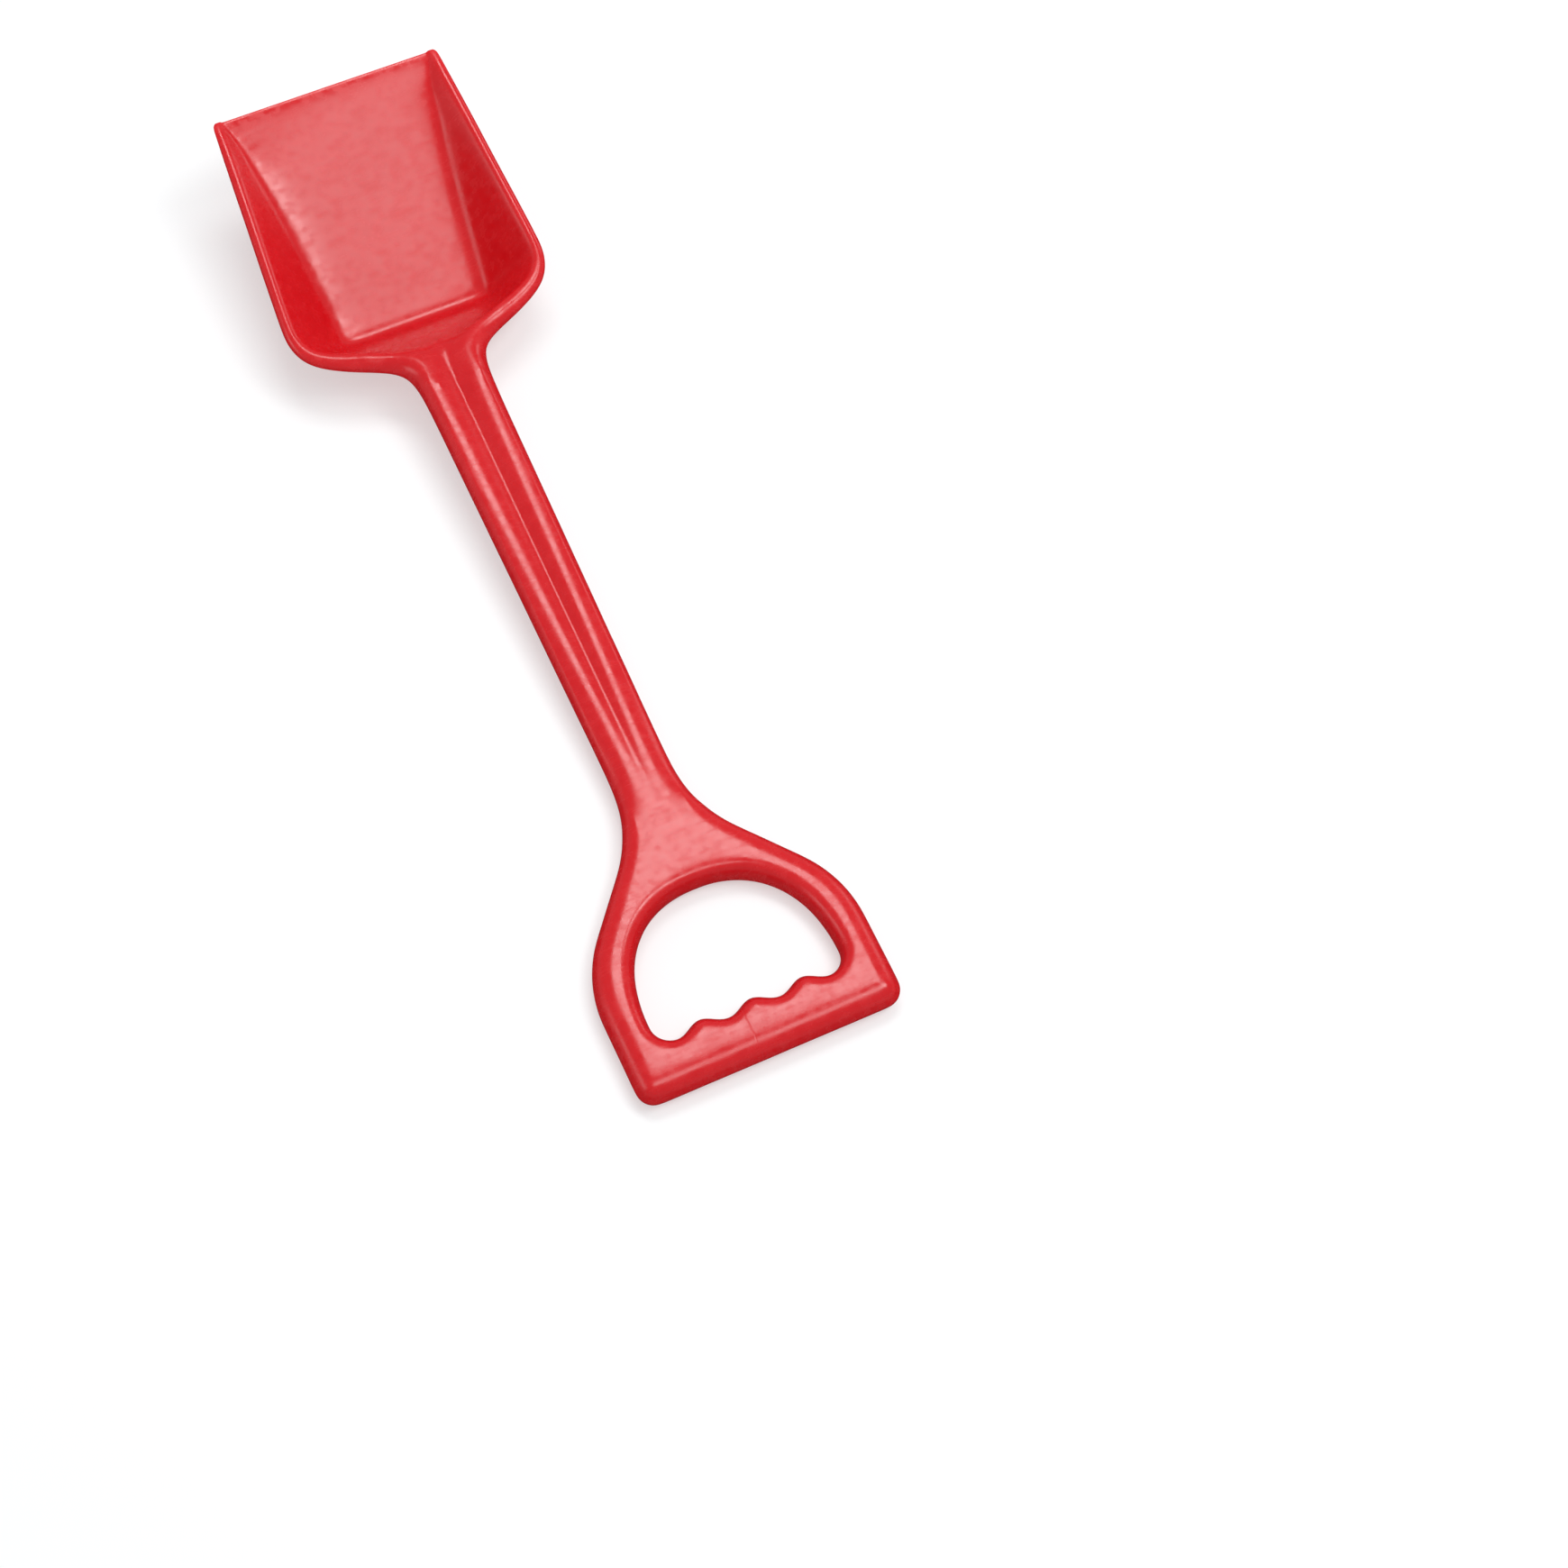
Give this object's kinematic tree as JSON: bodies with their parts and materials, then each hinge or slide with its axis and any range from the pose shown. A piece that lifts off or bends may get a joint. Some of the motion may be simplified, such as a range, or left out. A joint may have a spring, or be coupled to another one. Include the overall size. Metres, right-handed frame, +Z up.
{
  "type": "sand shovel",
  "caption": "Children's sand shovel moulded in one piece: deep square-lipped scoop, ribbed shaft with a long hollow, closed D handle with finger bumps.",
  "frame": {"origin": "on the surface the shovel lies on, under the middle of its length and width", "axes": "+Y along the shaft from the handle towards the scoop's lip, +X across the width, +Z up, with the scoop open upwards"},
  "size_m": [0.1258, 0.5, 0.06],
  "materials": {
    "red_plastic": "satin to gloss moulded polyolefin, coloured through"
  },
  "bodies": {
    "root": {"scoop": "red_plastic", "shaft": "red_plastic", "yoke": "red_plastic", "arm_right": "red_plastic", "arm_left": "red_plastic", "grip_bar": "red_plastic"}
  },
  "joints": []
}
